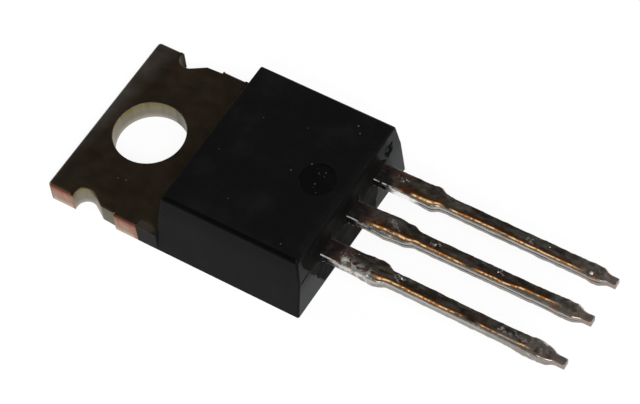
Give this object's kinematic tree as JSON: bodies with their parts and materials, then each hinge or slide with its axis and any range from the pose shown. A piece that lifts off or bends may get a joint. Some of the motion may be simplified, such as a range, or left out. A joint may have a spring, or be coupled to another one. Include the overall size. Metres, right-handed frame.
{
  "type": "power transistor",
  "caption": "Through-hole power transistor: a moulded black housing on a copper heat-sink tab with a screw hole, and flat tinned leads in a row, desoldered from a board.",
  "frame": {"origin": "centre of the tab's screw hole, in the plane of the tab's back face", "axes": "+Z out of the face that is marked on such parts, up when the part lies on its back; +Y towards the tab's outer end, so the leads point along -Y; +X to the right seen from above with the leads towards the viewer"},
  "size_m": [0.0104, 0.0286, 0.0044],
  "materials": {
    "tinned_copper_tab": "dull tin over copper, smudged, copper bare on the sheared sides",
    "tinned_lead": "solder-tinned copper with flux residue",
    "moulding_resin": "satin moulded epoxy",
    "silicon": "polished",
    "solder": "dull",
    "aluminium_wire": "bright drawn wire"
  },
  "bodies": {
    "root": {"heat_sink_tab": "tinned_copper_tab", "gate_lead": "tinned_lead", "source_lead": "tinned_lead", "moulded_housing": "moulding_resin", "silicon_die": "silicon", "die_solder": "solder", "gate_bond_wire": "aluminium_wire", "source_bond_wire_1": "aluminium_wire", "source_bond_wire_2": "aluminium_wire"}
  },
  "joints": []
}
